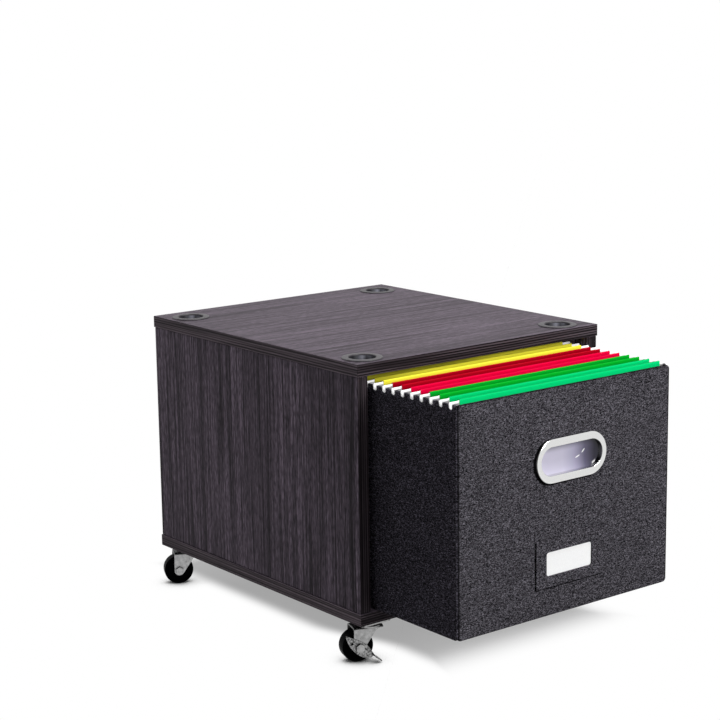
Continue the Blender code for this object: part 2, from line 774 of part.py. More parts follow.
def sheet_mesh():
    """The section, drawn out over the sheet's width and thickened."""
    half = sheet_section()
    section = half + [(-y, z) for y, z in reversed(half)]
    count = len(section)
    ends = (-SHEET_WIDTH / 2, SHEET_WIDTH / 2)
    points = [(x, y, z) for x in ends for y, z in section]
    faces = [(i, i + 1, count + i + 1, count + i) for i in range(count - 1)]
    mesh = bpy.data.meshes.new("folder_sheet")
    mesh.from_pydata(points, [], faces)
    obj = bpy.data.objects.new("folder_sheet", mesh)
    PARTS.objects.link(obj)
    shell = obj.modifiers.new("paper", "SOLIDIFY")
    shell.thickness = SHEET_THICKNESS
    shell.offset = 0
    shell.use_even_offset = True
    return smooth(baked(obj))


def make_folder(number, box):
    middle = FIRST_ROD + ROD_PITCH / 2 + 2 * ROD_PITCH * (number - 1)
    slide = anchor(f"folder_slide_{number}", box, (0, middle, BOX_HEIGHT))
    put(f"folder_{number}_sheet", sheet_mesh(), SHEET_COLOURS[number - 1], slide)
    for name, side in (("front", -1), ("rear", 1)):
        mesh = plate("hanging_rod", [rod_outline()], ROD_THICKNESS)
        place = (0, side * ROD_PITCH / 2, 0)
        put(f"folder_{number}_{name}_rod", mesh, white_plastic, slide, place, UPRIGHT)


clear_scene()
PARTS = new_collection("rolling_file_cube")
CUTTERS = new_collection("cutters")

case_anchor = anchor("case", place=(0, CASE_Y, CASTER_HEIGHT))
top_board = make_case(case_anchor)
make_cups(case_anchor, top_board)
make_casters(case_anchor)

box_place = (BOX_SHIFT, -CASE_DEPTH / 2 - BOX_OUT, PANEL + FIT)
box_anchor = anchor("box_slide", case_anchor, box_place)
make_walls(box_anchor)
make_handle(box_anchor)
make_label(box_anchor)
for folder_number in range(1, FOLDERS + 1):
    make_folder(folder_number, box_anchor)
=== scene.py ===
# %% [markdown]
# # A rolling file cube, dressed
# The cube is a laminate case on four casters. A cloth-covered file box pulls out of its
# open front, with a chrome finger ring, a label pocket and six hanging folders.
# The solid model is loaded first and stays as it is. Each later step either gives one of
# its pieces a better finish, or lays a finer surface in the same place.

import json

import bmesh
import bpy
import numpy as np
from mathutils import Matrix, Vector


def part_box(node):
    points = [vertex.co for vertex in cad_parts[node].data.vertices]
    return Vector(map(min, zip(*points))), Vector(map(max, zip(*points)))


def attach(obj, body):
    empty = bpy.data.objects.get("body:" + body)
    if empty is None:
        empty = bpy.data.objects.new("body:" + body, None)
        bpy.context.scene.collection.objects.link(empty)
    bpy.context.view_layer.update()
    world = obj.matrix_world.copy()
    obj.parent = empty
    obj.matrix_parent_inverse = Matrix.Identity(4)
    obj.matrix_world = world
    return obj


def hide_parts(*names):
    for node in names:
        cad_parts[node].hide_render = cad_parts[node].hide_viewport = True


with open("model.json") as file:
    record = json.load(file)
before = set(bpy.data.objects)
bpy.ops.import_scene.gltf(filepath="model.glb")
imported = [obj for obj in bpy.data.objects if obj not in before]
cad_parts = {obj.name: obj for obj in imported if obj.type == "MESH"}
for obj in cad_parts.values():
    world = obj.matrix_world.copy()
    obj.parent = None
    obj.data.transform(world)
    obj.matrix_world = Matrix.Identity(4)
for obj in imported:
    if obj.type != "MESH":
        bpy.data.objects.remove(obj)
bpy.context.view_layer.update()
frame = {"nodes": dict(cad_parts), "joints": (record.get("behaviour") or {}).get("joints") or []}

# %% [markdown]
# ## The camera
# The photograph was taken from the front left, a little above the top. A long lens keeps
# the cube's edges nearly parallel. The place and the three directions of the camera come
# from matching the corners of the case, so the render lines up with the photograph.

# %% Camera
right = Vector((0.78724, -0.61647, -0.01462))
up = Vector((0.13298, 0.14657, 0.98022))
forward = Vector((0.60213, 0.77362, -0.19737))
stand = Vector((-1.39073, -1.69532, 0.74583))

lens = bpy.data.cameras.new("camera")
lens.sensor_width = 36
lens.lens = 94.09
lens.clip_end = 100
camera = bpy.data.objects.new("camera", lens)
turn = Matrix((right, up, -forward)).transposed().to_4x4()
camera.matrix_world = Matrix.Translation(stand) @ turn
bpy.context.scene.collection.objects.link(camera)
bpy.context.scene.camera = camera
print("camera at", [round(v, 3) for v in camera.location])

# %% [markdown]
# ## Light and floor
# The light is plain and soft: one broad lamp overhead, one from the front right, a weak
# one from behind and a little light from all round. The left sides of the case and the box
# stay darker, as in the photograph.
# The white that the camera sees is not more light. It is the colour of the world and of
# the floor for rays that come straight from the camera, a mirror or a glass, picked with
# Light Path. The floor keeps a soft shadow under the cube, strongest below the case, and
# turns to plain white a little way out. Right under a wheel it is almost black. The share
# of near things above each place on the floor (ambient occlusion) finds the wheels, so the
# dark spots go with the casters when they swivel.


# %% World
WHITE = (1.0, 1.0, 1.0, 1.0)


def link(tree, out_socket, in_socket):
    tree.links.new(out_socket, in_socket)


def calculate(tree, operation, *values):
    """A Math node on numbers or sockets."""
    node = tree.nodes.new("ShaderNodeMath")
    node.operation = operation
    for socket, value in zip(node.inputs, values):
        if isinstance(value, (int, float)):
            socket.default_value = value
        else:
            link(tree, value, socket)
    return node.outputs[0]


def seen_directly(tree):
    """A factor that is 1 for camera, mirror and glass rays, and 0 for light from around."""
    path = tree.nodes.new("ShaderNodeLightPath").outputs
    first = calculate(tree, "MAXIMUM", path["Is Camera Ray"], path["Is Glossy Ray"])
    return calculate(tree, "MAXIMUM", first, path["Is Transmission Ray"])


world = bpy.data.worlds.new("studio")
bpy.context.scene.world = world
world.use_nodes = True
air = world.node_tree
soft = air.nodes["Background"]
soft.inputs["Color"].default_value = (0.95, 0.97, 1.0, 1)
soft.inputs["Strength"].default_value = 0.1
white = air.nodes.new("ShaderNodeBackground")
white.inputs["Color"].default_value = WHITE
white.inputs["Strength"].default_value = 1.0
pick = air.nodes.new("ShaderNodeMixShader")
link(air, seen_directly(air), pick.inputs[0])
link(air, soft.outputs[0], pick.inputs[1])
link(air, white.outputs[0], pick.inputs[2])
link(air, pick.outputs[0], air.nodes["World Output"].inputs["Surface"])
print("world set")


# %% Lamps
CUBE_MIDDLE = Vector((0, 0, 0.2))


def lamp(name, place, size, power):
    """A square soft box that faces the middle of the cube."""
    light = bpy.data.lights.new(name, "AREA")
    light.size = size
    light.energy = power
    obj = bpy.data.objects.new(name, light)
    obj.location = place
    away = Vector(place) - CUBE_MIDDLE
    obj.rotation_euler = away.to_track_quat("Z", "Y").to_euler()
    bpy.context.scene.collection.objects.link(obj)


lamp("overhead", (0.1, -0.5, 2.2), 1.3, 38)
lamp("front_right", (0.55, -2.7, 1.2), 0.8, 49)
lamp("behind_left", (-1.2, 2.2, 1.3), 1.2, 6)
print("lamps set")


# %% Floor
def smooth(tree, value, low, high, start=0.0, end=1.0):
    """A smooth step from start to end while a value goes from low to high."""
    node = tree.nodes.new("ShaderNodeMapRange")
    node.interpolation_type = "SMOOTHSTEP"
    names = ("From Min", "From Max", "To Min", "To Max")
    for name, number in zip(names, (low, high, start, end)):
        node.inputs[name].default_value = number
    link(tree, value, node.inputs["Value"])
    return node.outputs["Result"]


def object_place(tree):
    """Where a point lies on its object, in metres."""
    return tree.nodes.new("ShaderNodeTexCoord").outputs["Object"]


def parted(tree, vector):
    """The x, y and z of a vector."""
    node = tree.nodes.new("ShaderNodeSeparateXYZ")
    link(tree, vector, node.inputs[0])
    return node.outputs


reach = 60.0
floor_mesh = bpy.data.meshes.new("floor")
floor_mesh.from_pydata(
    [(-reach, -reach, 0), (reach, -reach, 0), (reach, reach, 0), (-reach, reach, 0)],
    [],
    [(0, 1, 2, 3)],
)
floor = bpy.data.objects.new("floor", floor_mesh)
bpy.context.scene.collection.objects.link(floor)
floor_finish = bpy.data.materials.new("pale_floor")
floor_finish.use_nodes = True
floor_mesh.materials.append(floor_finish)
print("floor laid")

# %% Floor shade
WHEEL_NEAR = 0.045
tree = floor_finish.node_tree
seen = seen_directly(tree)
matt = tree.nodes["Principled BSDF"]
matt.inputs["Roughness"].default_value = 0.9
matt.inputs["Specular IOR Level"].default_value = 0.0
white_here = smooth(tree, seen, 0, 1, 0.42, 0.9)
glow = tree.nodes.new("ShaderNodeEmission")
glow.inputs["Color"].default_value = WHITE

# the shade's outline is a leaning rectangle: each line fades one of its four sides
x, y, _ = parted(tree, object_place(tree))
x_back, y_back = (calculate(tree, "MULTIPLY", value, -1.0) for value in (x, y))
x_back = calculate(tree, "ADD", x_back, smooth(tree, y_back, -0.02, 0.12, 0, 0.032))
fades = [
    smooth(tree, x_back, 0.114, 0.16),
    smooth(tree, x, 0.12, 0.195),
    smooth(tree, y_back, 0.125, 0.235),
    smooth(tree, y, 0.3, 0.36),
]
outside = fades[0]
for fade in fades[1:]:
    outside = calculate(tree, "MAXIMUM", outside, fade)
share = smooth(tree, outside, 0, 1, 0.36, 1.0)

# a floor point under a wheel has near things above it, which the occlusion node measures;
# the floor's colour is painted dark there as a contact shadow
covered = tree.nodes.new("ShaderNodeAmbientOcclusion")
covered.samples = 6
covered.inputs["Distance"].default_value = WHEEL_NEAR
open_sky = smooth(tree, covered.outputs["AO"], 0.3, 0.85, 0.03, 1.0)
share = calculate(tree, "MULTIPLY", share, open_sky)
white_here = calculate(tree, "MULTIPLY", white_here, open_sky)
link(tree, white_here, matt.inputs["Base Color"])
mix = tree.nodes.new("ShaderNodeMixShader")
link(tree, calculate(tree, "MULTIPLY", share, seen), mix.inputs[0])
link(tree, matt.outputs[0], mix.inputs[1])
link(tree, glow.outputs[0], mix.inputs[2])
link(tree, mix.outputs[0], tree.nodes["Material Output"].inputs["Surface"])
print("floor shaded")

# %% [markdown]
# ## Helpers for finishes
# Every finish here is drawn by nodes on Object coordinates, which are metres on the
# object itself. Stretching the coordinates before a noise makes grain or thread, so one
# helper gives a stretched noise and the finishes below only choose sizes and colours.


# %% Node helpers
X, Y, Z = 0, 1, 2


def new_finish(name, colour, roughness, metallic=0.0, gloss=0.5):
    """A material with its own constants set, and its tree and shader to add to."""
    finish = bpy.data.materials.new(name)
    finish.use_nodes = True
    shader = finish.node_tree.nodes["Principled BSDF"]
    shader.inputs["Base Color"].default_value = (*colour, 1)
    shader.inputs["Roughness"].default_value = roughness
    shader.inputs["Metallic"].default_value = metallic
    shader.inputs["Specular IOR Level"].default_value = gloss
    return finish, finish.node_tree, shader


def vector_maths(tree, operation, first, second):
    """A Vector Math node on tuples or sockets."""
    node = tree.nodes.new("ShaderNodeVectorMath")
    node.operation = operation
    for socket, value in zip(node.inputs, (first, second)):
        if isinstance(value, tuple):
            socket.default_value = value
        else:
            link(tree, value, socket)
    return node.outputs


def vector_step(tree, operation, first, second=(0.0, 0.0, 0.0)):
    return vector_maths(tree, operation, first, second)["Vector"]


def distance(tree, vector, point):
    """How far a place is from a fixed point."""
    return vector_maths(tree, "DISTANCE", vector, tuple(point))["Value"]


def dot(tree, vector, weights):
    """The sum of a vector's parts, each times its weight."""
    return vector_maths(tree, "DOT_PRODUCT", vector, tuple(weights))["Value"]


def stretched(tree, sizes, source=None):
    """Object coordinates times a size on each axis: a large number gives a fine pattern."""
    return vector_step(tree, "MULTIPLY", source or object_place(tree), tuple(sizes))


def noise(tree, vector, detail=3.0, roughness=0.5, output="Fac"):
    node = tree.nodes.new("ShaderNodeTexNoise")
    node.inputs["Scale"].default_value = 1.0
    node.inputs["Detail"].default_value = detail
    node.inputs["Roughness"].default_value = roughness
    link(tree, vector, node.inputs["Vector"])
    return node.outputs[output]


def speckle(tree, size, detail, roughness=0.5):
    """A noise that is equally fine in all directions."""
    return noise(tree, stretched(tree, (size, size, size)), detail, roughness)


def ramp(tree, factor, *stops):
    """A colour ramp from (position, grey or colour) stops."""
    node = tree.nodes.new("ShaderNodeValToRGB")
    elements = node.color_ramp.elements
    while len(elements) < len(stops):
        elements.new(0.5)
    for element, (position, colour) in zip(elements, stops):
        element.position = position
        if isinstance(colour, (int, float)):
            colour = (colour,) * 3
        element.color = (*colour, 1)
    link(tree, factor, node.inputs["Fac"])
    return node.outputs["Color"]


def blend_colour(tree, mode, factor, first, second):
    node = tree.nodes.new("ShaderNodeMix")
    node.data_type = "RGBA"
    node.blend_type = mode
    for socket, value in ((0, factor), (6, first), (7, second)):
        if isinstance(value, (int, float, tuple)):
            node.inputs[socket].default_value = value
        else:
            link(tree, value, node.inputs[socket])
    return node.outputs[2]


def multiplied(tree, *colours):
    result = colours[0]
    for colour in colours[1:]:
        result = blend_colour(tree, "MULTIPLY", 1.0, result, colour)
    return result


def bump(tree, shader, height, deep, strength=1.0):
    node = tree.nodes.new("ShaderNodeBump")
    node.inputs["Distance"].default_value = deep
    node.inputs["Strength"].default_value = strength
    link(tree, height, node.inputs["Height"])
    link(tree, node.outputs["Normal"], shader.inputs["Normal"])


def normal(tree):
    return tree.nodes.new("ShaderNodeTexCoord").outputs["Normal"]


def facing(tree, axis, signed=False):
    """How far a face looks along an axis of the object: 1 along it, 0 across it."""
    part = parted(tree, normal(tree))[axis]
    return part if signed else calculate(tree, "ABSOLUTE", part)


def facing_left(tree):
    return calculate(tree, "MULTIPLY", facing(tree, X, True), -1.0)


def dress(node, finish):
    """Puts a finish on a piece of the solid model, which keeps its shape."""
    mesh = frame["nodes"][node].data
    mesh.materials.clear()
    mesh.materials.append(finish)


print("helpers ready")

# %% [markdown]
# ## Wood-grain laminate
# The case is chipboard under a printed paper: fine charcoal grain, slow lighter and
# darker bands, and short dark pores, all drawn out along the board. A slow warp bends the
# lines a little, as in real veneer.
# On the top the grain runs across the cube, and on the sides it stands upright. The thin
# tape on a board's edge is darker, with strong ruled lines along it, which are a sine of
# the place across the edge. The normal tells edge from face, so one finish serves a whole
# board.


# %% Laminate
def drawn_out(along, one, others):
    """A triple with one number on the axis along the grain and another on the other two."""
    return tuple(one if axis == along else others for axis in (X, Y, Z))


def warped(tree, along):
    """Object coordinates, pushed sideways by a slow noise."""
    slow = noise(tree, stretched(tree, drawn_out(along, 2.2, 9.0)), 2.0, 0.5, "Color")
    push = drawn_out(along, 0.0, 0.014)
    centred = vector_step(tree, "SUBTRACT", slow, (0.5, 0.5, 0.5))
    sideways = vector_step(tree, "MULTIPLY", centred, push)
    return vector_step(tree, "ADD", object_place(tree), sideways)


def grain_noise(tree, source, along, across_size, along_size):
    sizes = drawn_out(along, along_size, across_size)
    return noise(tree, stretched(tree, sizes, source), 1.0, 0.6)


# across the grain, along the grain, and the ramp's stops: each row is one layer of print
FACE_LAYERS = (
    (620.0, 110.0, (0.36, 0.48), (0.64, 1.5)),  # short fibres
    (640.0, 5.0, (0.38, 0.35), (0.62, 1.7)),  # long grain
    (230.0, 3.0, (0.35, 0.3), (0.42, 1.04)),  # thin dark lines
    (80.0, 1.6, (0.34, 0.45), (0.42, 1.07)),  # broad dark lines
    (16.0, 0.8, (0.35, 0.7), (0.65, 1.3)),  # slow bands
    (950.0, 60.0, (0.3, 0.55), (0.45, 1.06)),  # pores
)
RULED = 2200.0  # radians a metre
FACE_TONE, EDGE_TONE = (0.104, 0.083, 0.106), (0.05, 0.04, 0.046)
EDGE_LAYERS = (
    (500.0, 4.0, (0.4, 0.4), (0.6, 1.6)),
    (1100.0, 18.0, (0.3, 0.7), (0.65, 1.2)),
)


def tape_lines(tree, across, along, strength):
    """Ruled lines about 3 mm apart that wander a little: a sine of the place across them."""
    slow = noise(tree, stretched(tree, drawn_out(along, 3.0, 25.0)), 2.0)
    wander = calculate(tree, "MULTIPLY", slow, 9.0)
    place = parted(tree, object_place(tree))[across]
    phase = calculate(tree, "MULTIPLY", place, RULED)
    wave = calculate(tree, "SINE", calculate(tree, "ADD", phase, wander))
    return smooth(tree, wave, -0.9, 0.7, 1 - 0.8 * strength, 1 + 0.6 * strength)


def printed(tree, source, along, colour, layers, contrast=1.0):
    """The mean colour times one ramp for each layer. A contrast of 0 would leave it flat."""
    result = (*colour, 1)
    for across_size, along_size, *ends in layers:
        low, high = [(place, 1 + contrast * (tone - 1)) for place, tone in ends]
        fibre = grain_noise(tree, source, along, across_size, along_size)
        result = multiplied(tree, result, ramp(tree, fibre, low, high))
    return result


def laminate(name, face_grain, contrast, depth, edges):
    """Each of the edges gives the axis it looks along, the axis of its lines, its depth of
    colour and how strong its ruled lines are."""
    finish, tree, shader = new_finish(name, (0.05, 0.045, 0.05), 0.5, gloss=0.05)
    shader.inputs["Specular Tint"].default_value = (1.0, 0.84, 1.0, 1)
    face = tuple(depth * channel for channel in FACE_TONE)
    colour = printed(tree, warped(tree, face_grain), face_grain, face, FACE_LAYERS, contrast)
    for looks_along, line_axis, edge_depth, strength in edges:
        near = calculate(tree, "GREATER_THAN", facing(tree, looks_along), 0.75)
        tape = tuple(edge_depth * channel for channel in EDGE_TONE)
        lines = printed(tree, object_place(tree), line_axis, tape, EDGE_LAYERS)
        across = X + Y + Z - looks_along - line_axis
        lines = multiplied(tree, lines, tape_lines(tree, across, line_axis, strength))
        colour = blend_colour(tree, "MIX", near, colour, lines)
    link(tree, colour, shader.inputs["Base Color"])
    pore = grain_noise(tree, object_place(tree), face_grain, 900.0, 34.0)
    bump(tree, shader, pore, 0.00015, 0.5)
    return finish


across_edges = [(X, Y, 1.9, 0.6), (Y, X, 0.85, 1.1)]
board_across = laminate("laminate_across", X, 0.58, 0.75, across_edges)
# the uprights' face is painted lighter than the top's (1.02 against 0.75) as painted light that
# makes up for the weaker light on the sides, and their front edge tape darker (0.5) as painted
# shade
board_upright = laminate("laminate_upright", Z, 0.9, 1.02, [(Y, Z, 0.5, 1.0)])
back_board = laminate("laminate_back", Z, 0.75, 1.0, [])
for board in ("top_panel", "bottom_panel"):
    dress(board, board_across)
for board in ("left_side_panel", "right_side_panel"):
    dress(board, board_upright)
dress("back_panel", back_board)
print("case dressed")

# %% [markdown]
# ## Surfaces from formulas
# New pieces are grids of points: rows run round an outline or along a path, columns
# follow a cross-section. The whole grid is worked out as one array, and the faces are the
# same index pattern shifted by one row and one column. An end is closed by one many-sided
# face.


# %% Grid helpers
def grid_faces(rows, columns, close_rows=True, close_columns=False):
    """Quads between neighbours on a rows by columns grid of points."""
    i = np.arange(rows if close_rows else rows - 1)[:, None]
    j = np.arange(columns if close_columns else columns - 1)[None, :]
    i2, j2 = (i + 1) % rows, (j + 1) % columns
    corners = (i * columns + j, i2 * columns + j, i2 * columns + j2, i * columns + j2)
    return np.stack(np.broadcast_arrays(*corners), -1).reshape(-1, 4).tolist()


def solid(grid, close_rows=True, close_columns=False):
    """A grid as a closed surface: whichever direction stays open gets an end face."""
    rows, columns = grid.shape[:2]
    faces = grid_faces(rows, columns, close_rows, close_columns)
    index = np.arange(rows * columns).reshape(rows, columns)
    if not close_columns:
        faces += [index[:, 0].tolist(), index[:, -1].tolist()]
    if not close_rows:
        faces += [index[0].tolist(), index[-1].tolist()]
    return grid.reshape(-1, 3), faces


def piece(name, shape, finish, body, node=None, angle=35.0):
    """A finished piece, which stands for a node of the solid model and rides on a body."""
    points, faces = shape
    mesh = bpy.data.meshes.new(name)
    mesh.from_pydata(points.tolist(), [], faces)
    work = bmesh.new()
    work.from_mesh(mesh)
    bmesh.ops.remove_doubles(work, verts=work.verts, dist=1e-7)
    bmesh.ops.recalc_face_normals(work, faces=work.faces)
    work.to_mesh(mesh)
    work.free()
    mesh.shade_smooth()
    mesh.set_sharp_from_angle(angle=np.radians(angle))
    mesh.materials.append(finish)
    obj = bpy.data.objects.new(name, mesh)
    bpy.context.scene.collection.objects.link(obj)
    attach(obj, body)
    if node:
        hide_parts(node)
    return obj


print("grid helpers ready")


# %% Outline helpers
def arc(centre, radius, start, end, steps=8):
    """Points on an arc between two angles in degrees."""
    angle = np.radians(np.linspace(start, end, steps))
    return np.array(centre) + radius * np.stack([np.cos(angle), np.sin(angle)], -1)


def rounded(width, height, radius, steps=16):
    """A rectangle with round corners: four quarter circles, joined by straight sides."""
    half = np.array([width / 2 - radius, height / 2 - radius])
    signs = ((1, 1), (-1, 1), (-1, -1), (1, -1))
    corners = [arc(half * sign, radius, 90 * k, 90 * k + 90, steps)
               for k, sign in enumerate(signs)]
    return np.concatenate(corners)


def shrunk(outline, inset):
    """An outline moved inwards along its own normals. It runs anticlockwise."""
    slope = np.roll(outline, -1, 0) - np.roll(outline, 1, 0)
    slope /= np.linalg.norm(slope, axis=1, keepdims=True)
    return outline + inset * np.stack([-slope[:, 1], slope[:, 0]], -1)


def upright(flat, depth):
    """Outlines in (x, z) and depths in y as points. A depth goes with a column."""
    y = np.broadcast_to(depth, flat.shape[:2])
    return np.stack([flat[..., 0], y, flat[..., 1]], -1)


def soft_rim(thickness, edge, steps=5):
    """(inset, depth) pairs round a slab's rim: a quarter circle in front and one behind."""
    front = arc((edge, edge), edge, 270, 180, steps)
    back = arc((edge, thickness - edge), edge, 180, 90, steps)
    return np.concatenate([front, back])


def revolved(profile, centre, axis=(0, 0, 1), steps=96):
    """A profile of (radius, height) points turned about an axis through the centre."""
    axis = np.array(axis, float) / np.linalg.norm(axis)
    side = np.cross(axis, (0, 0, 1.0) if abs(axis[2]) < 0.9 else (1.0, 0, 0))
    side /= np.linalg.norm(side)
    angle = np.linspace(0, 2 * np.pi, steps, endpoint=False)[:, None]
    spoke = np.cos(angle) * side + np.sin(angle) * np.cross(axis, side)
    profile = np.asarray(profile, float)
    rings = spoke[:, None, :] * profile[None, :, 0, None]
    return np.array(centre) + rings + axis * profile[None, :, 1, None]


def flange(section, inner, outer, centre, front):
    """A closed frame: a section of (share, depth) points, where the share goes from 0 on the
    inner outline to 1 on the outer one."""
    share = section[None, :, :1]
    flat = inner[:, None] * (1 - share) + outer[:, None] * share + centre
    return solid(upright(flat, front + section[:, 1]), True, True)


def span_of(node):
    """Lowest corner, middle and size of a piece of the solid model."""
    low, high = (np.array(corner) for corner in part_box(node))
    return low, (low + high) / 2, high - low


print("outline helpers ready")

# %% [markdown]
# ## Stacking cups
# Each corner of the top has a moulded cup that takes a wheel of a second cube. It is a
# turned form: a low flat rim with a soft edge, a glossy wall and a floor with a fillet.
# The rim is satin and the wall is shiny, so the roughness follows the height. A shiny
# bore shows upright streaks of light. The bore here is too small for the lamps to make
# them well, so they are painted by the direction that the wall faces, as painted
# reflections, and the bore's floor is painted dark as shade.

# %% Cups
case_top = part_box("top_panel")[1].z
CUP_RIM, CUP_BORE, CUP_DEEP = 0.0229, 0.0154, 0.0085

cup_finish, tree, shader = new_finish("cup_plastic", (0.07, 0.07, 0.078), 0.3, gloss=0.35)
mottle = speckle(tree, 900.0, 2.0)
inside = calculate(tree, "LESS_THAN", parted(tree, object_place(tree))[Z], case_top - 0.0002)
satin = ramp(tree, mottle, (0.3, 0.4), (0.7, 0.52))
shiny = ramp(tree, mottle, (0.3, 0.26), (0.7, 0.34))
link(tree, blend_colour(tree, "MIX", inside, satin, shiny), shader.inputs["Roughness"])
# painted reflections: streaks on the bore's wall by the direction it faces; the bore's floor is
# painted dark as shade
across_bore = calculate(tree, "SUBTRACT", facing(tree, X, True), facing(tree, Y, True))
streaks = ramp(tree, smooth(tree, across_bore, -1.41, 1.41), (0.02, 0.015), (0.17, 0.16),
               (0.36, 0.05), (0.58, 0.17), (0.8, 0.04), (0.95, 0.01))
walls_bright_floor_shaded = ramp(tree, facing(tree, Z), (0.5, (1.7, 1.7, 2.0)), (0.85, (0.2, 0.2, 0.22)))
bore = multiplied(tree, streaks, walls_bright_floor_shaded)
tone = blend_colour(tree, "MIX", inside, (0.037, 0.033, 0.038, 1), bore)
link(tree, tone, shader.inputs["Base Color"])
bump(tree, shader, mottle, 0.00004, 0.4)


def cup_section():
    """From the middle of the floor, up the bore, over the rim and down outside."""
    middle, under, outside = 0.004, -CUP_DEEP - 0.0015, CUP_BORE + 0.002
    return np.concatenate([
        [(middle, -CUP_DEEP)],
        arc((CUP_BORE - 0.0022, -CUP_DEEP + 0.002), 0.002, -90, 0),
        arc((CUP_BORE + 0.0011, 0.0003), 0.0012, 180, 90),
        [(CUP_BORE + 0.0035, 0.00145), (CUP_RIM - 0.0022, 0.00125)],
        arc((CUP_RIM - 0.0008, 0.0004), 0.0008, 80, -5, 6),
        [(CUP_RIM - 0.001, 0.0003), (outside, 0.0003), (outside, under), (middle, under)],
    ])


CORNERS = ("front_left", "front_right", "rear_left", "rear_right")
for corner in CORNERS:
    middle = span_of(f"stacking_cup_{corner}")[1]
    shape = solid(revolved(cup_section(), (*middle[:2], case_top)))
    piece(f"cup_{corner}", shape, cup_finish, "case", f"stacking_cup_{corner}")
print("four cups")

# %% [markdown]
# ## Cloth on board
# The file box is board wrapped in heathered cloth: dark threads with paler ones among
# them, a little longer along the weft. Each wall is a thin slab whose edges are softened
# by the wrap. The slab is a stack of outlines: one outline is shrunk in steps while its
# depth runs round a quarter circle.
# A dark line runs just inside the front wall's rim. Painted shadow lies on the cloth just
# outside the handle ring, below and left of it, and along the label's lower edge and left side.
# The box's walls that face left are painted a little darker as shade. A noise looks faint on a
# wall that lies along one of its layers, so the coordinates lean.


# %% Cloth
def from_outline(tree, centre, width, height, radius):
    """How far a place is, in x and z, outside a rectangle with round corners: the distance
    to a smaller square-cornered one, less the radius. It is below zero inside."""
    place = vector_step(tree, "SUBTRACT", object_place(tree), (centre[0], 0.0, centre[1]))
    place = vector_step(tree, "ABSOLUTE", vector_step(tree, "MULTIPLY", place, (1.0, 0.0, 1.0)))
    half = (width / 2 - radius, 0.0, height / 2 - radius)
    place = vector_step(tree, "SUBTRACT", place, half)
    place = vector_step(tree, "MAXIMUM", place, (0.0, 0.0, 0.0))
    return calculate(tree, "SUBTRACT", distance(tree, place, (0.0, 0.0, 0.0)), radius)


LEAN = ((1.0, 0.31, 0.1), (0.37, 1.0, 0.15), (0.0, 0.0, 1.0))


def leaning(tree):
    """Object coordinates with x and y leaning on the other two. A flat wall then crosses
    many layers of a noise, where it would else lie along one and look faint or strong."""
    node = tree.nodes.new("ShaderNodeCombineXYZ")
    for socket, weights in zip(node.inputs, LEAN):
        link(tree, dot(tree, object_place(tree), weights), socket)
    return node.outputs[0]


def heather(name, colour, left, fold=1.0, shadow_height=None, shadow_shape=None, outline=None):
    """Threads and flecks over slow clouds. Left and fold are the tone where the cloth faces left
    and where it turns there; a left tone below 1 is painted shade. A shadow height gives a
    painted shadow line just above that height. A painted shadow also runs just outside the
    shadow shape, and a dark line runs just inside the outline, both given as a centre, a
    width, a height and a corner radius."""
    finish, tree, shader = new_finish(name, colour, 1.0, gloss=0.0)
    source = leaning(tree)

    def weave(*sizes, detail=1.0, roughness=0.5):
        return noise(tree, stretched(tree, sizes, source), detail, roughness)

    thread = weave(340.0, 340.0, 1050.0)
    fleck = weave(700.0, 700.0, 1600.0)
    fuzz = weave(420.0, 420.0, 560.0)
    slub = weave(110.0, 110.0, 700.0, detail=2.0, roughness=0.6)
    cloudy = noise(tree, stretched(tree, (22.0, 22.0, 34.0)), 2.0)
    left_facing = facing_left(tree)
    rough_nap = ramp(tree, fuzz, (0.36, (0.56, 0.55, 0.58)), (0.64, (1.36, 1.32, 1.46)))
    layers = [
        ramp(tree, thread, (0.36, 0.38), (0.64, 1.62)),
        ramp(tree, fleck, (0.38, 0.0), (0.62, 2.3)),
        ramp(tree, slub, (0.35, 0.72), (0.65, 1.28)),
        ramp(tree, cloudy, (0.35, 0.93), (0.65, 1.07)),
        # painted shade where the cloth faces left, when the left tone is below 1
        ramp(tree, left_facing, (0.2, 1.0), (0.35, fold), (0.6, fold), (0.78, left)),
        blend_colour(tree, "MIX", smooth(tree, left_facing, 0.5, 0.9), WHITE, rough_nap),
    ]
    # a painted shadow line just above the given height
    if shadow_height:
        height = parted(tree, object_place(tree))[Z]
        layers.append(smooth(tree, height, shadow_height + 0.0006, shadow_height + 0.0024, 0.03, 1.0))
    # a painted shadow of a part that stands out, just outside its shape
    if shadow_shape:
        layers.append(smooth(tree, from_outline(tree, *shadow_shape), 0.0004, 0.0017, 0.06, 1.0))
    if outline:
        inside = from_outline(tree, *outline)
        leaving = smooth(tree, inside, -0.0032, -0.0018, 1.0, 0.3)
        reaching = smooth(tree, inside, -0.0007, -0.0001, 0.3, 1.0)
        layers.append(calculate(tree, "MAXIMUM", leaving, reaching))
    link(tree, multiplied(tree, (*colour, 1), *layers), shader.inputs["Base Color"])
    bump(tree, shader, thread, 0.0005, 0.8)
    return finish


CLOTH = (0.053, 0.05, 0.058)
CORNER = 0.005  # radius of the front and back walls' corners
ring_middle, ring_size = span_of("handle_ring")[1:]
HANDLE = ring_middle[[0, 2]]
wall_low, wall_middle, wall_size = span_of("box_front")
WALL = wall_middle[[0, 2]]
# painted shadow of the ring on the cloth: the ring's outline moved down and to the left
ring_shadow = (HANDLE - (0.0015, 0.0009), ring_size[0], ring_size[2], ring_size[2] / 2)
wall_mark = (WALL, wall_size[0], wall_size[2] + 0.003, CORNER)
# the box's walls that face left are painted a little darker (0.9) as shade
box_cloth = heather("heather_cloth", CLOTH, 0.9)
front_cloth = heather("front_cloth", CLOTH, 1.6, 0.2, shadow_shape=ring_shadow, outline=wall_mark)
